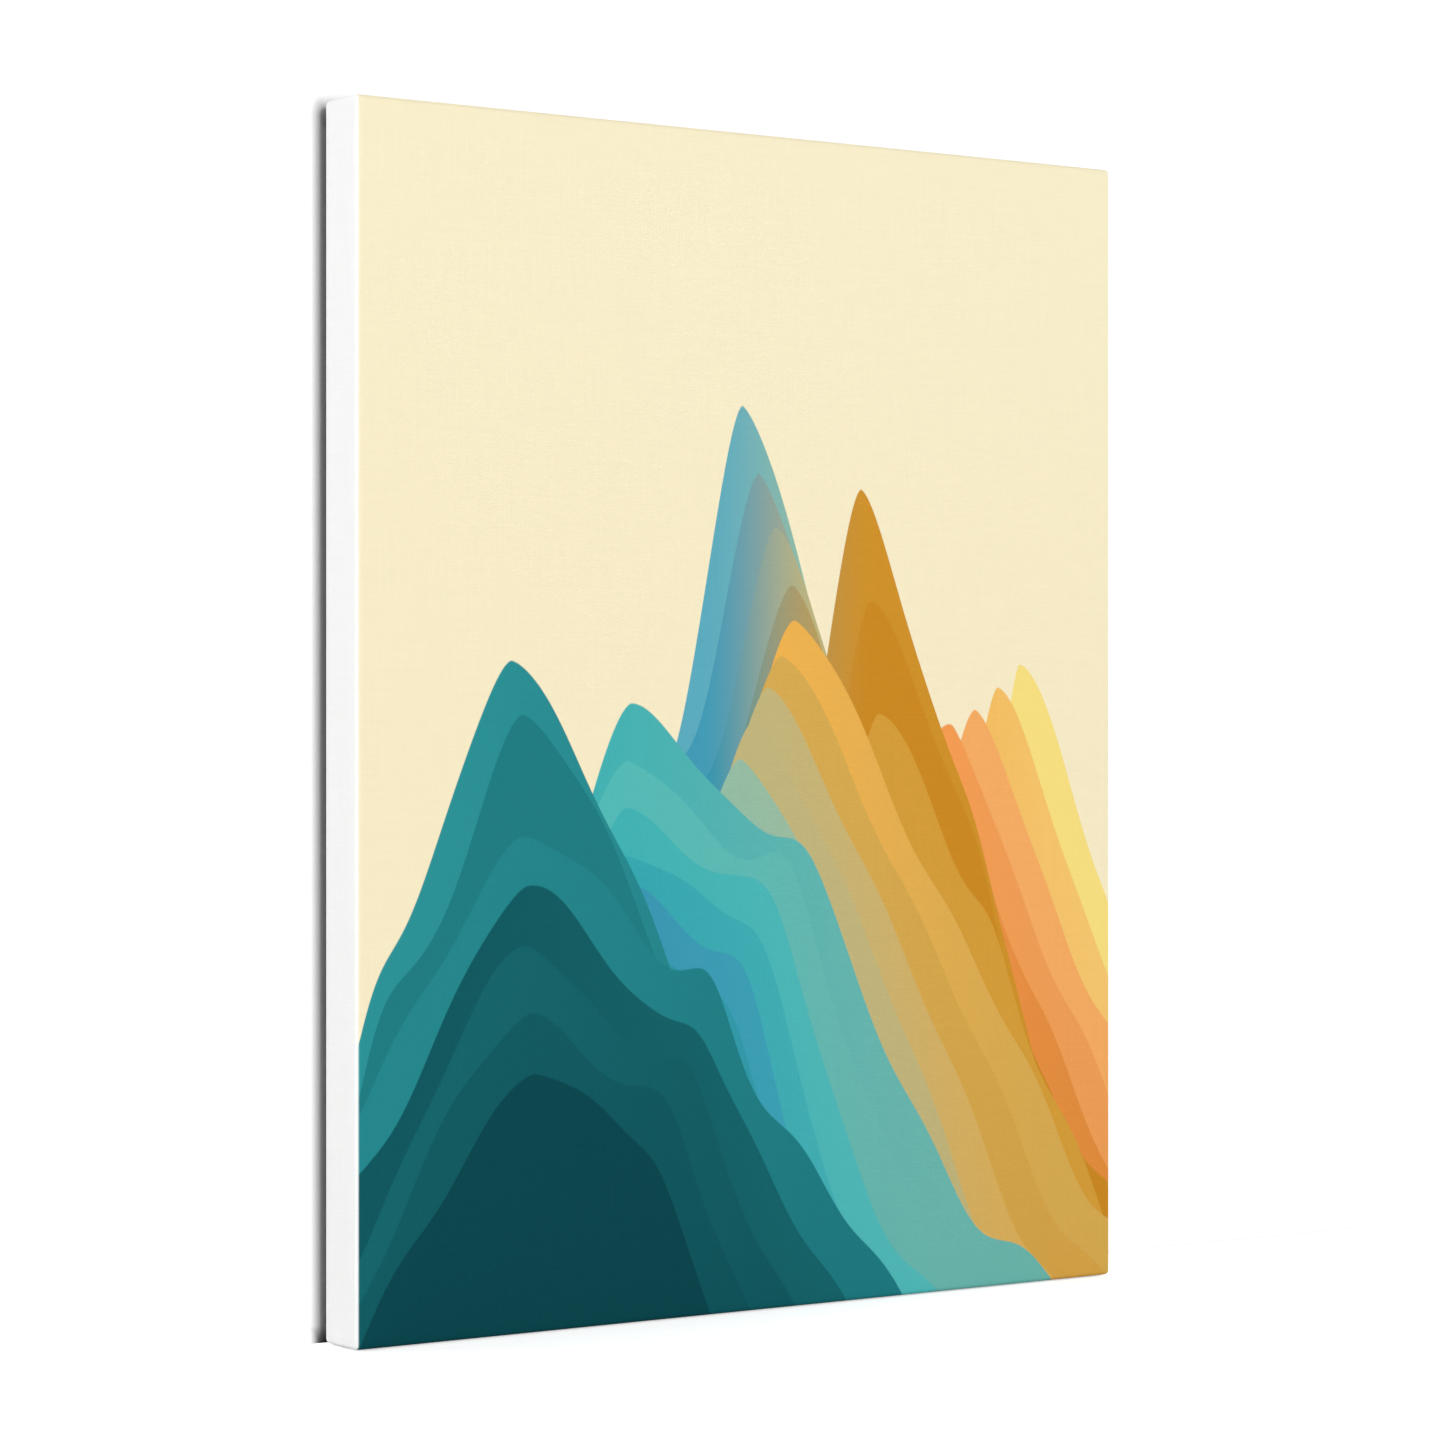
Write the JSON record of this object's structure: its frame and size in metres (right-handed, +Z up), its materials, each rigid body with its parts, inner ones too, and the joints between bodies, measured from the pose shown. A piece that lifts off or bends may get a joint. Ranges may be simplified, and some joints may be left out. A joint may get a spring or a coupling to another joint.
{
  "type": "stretched canvas",
  "caption": "Upright rectangular canvas: primed cloth wrapped and stapled over a keyed pine frame, with wedges in its corners and a sawtooth hanger.",
  "frame": {"origin": "middle of the bottom edge, halfway through the depth of the cloth-wrapped bars", "axes": "+X to the right across the face as seen from the front, +Z up, the face looks along -Y and the open back along +Y"},
  "size_m": [0.2794, 0.0216, 0.3556],
  "materials": {
    "primed_cloth": "matte primed cotton weave",
    "pine": "planed, bare",
    "key_wood": "sawn, bare",
    "staple_steel": "zinc plated",
    "plated_steel": "stamped and plated",
    "nail_steel": "bright wire",
    "bumper_rubber": "matte moulded"
  },
  "bodies": {
    "stretched_frame": {"canvas": "primed_cloth", "bar_top": "pine", "bar_bottom": "pine", "bar_left": "pine", "bar_right": "pine", "staples_top": "staple_steel", "staples_bottom": "staple_steel", "staples_left": "staple_steel", "staples_right": "staple_steel", "sawtooth_hanger": "plated_steel", "hanger_nails": "nail_steel", "bumper_left": "bumper_rubber", "bumper_right": "bumper_rubber"},
    "key_top_left_upright": {"key_top_left_upright": "key_wood"},
    "key_top_right_upright": {"key_top_right_upright": "key_wood"},
    "key_bottom_left_upright": {"key_bottom_left_upright": "key_wood"},
    "key_bottom_right_upright": {"key_bottom_right_upright": "key_wood"},
    "key_top_left_across": {"key_top_left_across": "key_wood"},
    "key_top_right_across": {"key_top_right_across": "key_wood"},
    "key_bottom_left_across": {"key_bottom_left_across": "key_wood"},
    "key_bottom_right_across": {"key_bottom_right_across": "key_wood"}
  },
  "joints": [
    {"name": "key_top_left_upright_slide", "type": "slide", "parent": "stretched_frame", "child": "key_top_left_upright", "axis": [0, 0, -1], "range_m": [0, 0.026]},
    {"name": "key_top_right_upright_slide", "type": "slide", "parent": "stretched_frame", "child": "key_top_right_upright", "axis": [0, 0, -1], "range_m": [0, 0.026]},
    {"name": "key_bottom_left_upright_slide", "type": "slide", "parent": "stretched_frame", "child": "key_bottom_left_upright", "axis": [0, 0, 1], "range_m": [0, 0.026]},
    {"name": "key_bottom_right_upright_slide", "type": "slide", "parent": "stretched_frame", "child": "key_bottom_right_upright", "axis": [0, 0, 1], "range_m": [0, 0.026]},
    {"name": "key_top_left_across_slide", "type": "slide", "parent": "stretched_frame", "child": "key_top_left_across", "axis": [1, 0, 0], "range_m": [0, 0.026]},
    {"name": "key_top_right_across_slide", "type": "slide", "parent": "stretched_frame", "child": "key_top_right_across", "axis": [-1, 0, 0], "range_m": [0, 0.026]},
    {"name": "key_bottom_left_across_slide", "type": "slide", "parent": "stretched_frame", "child": "key_bottom_left_across", "axis": [1, 0, 0], "range_m": [0, 0.026]},
    {"name": "key_bottom_right_across_slide", "type": "slide", "parent": "stretched_frame", "child": "key_bottom_right_across", "axis": [-1, 0, 0], "range_m": [0, 0.026]}
  ]
}
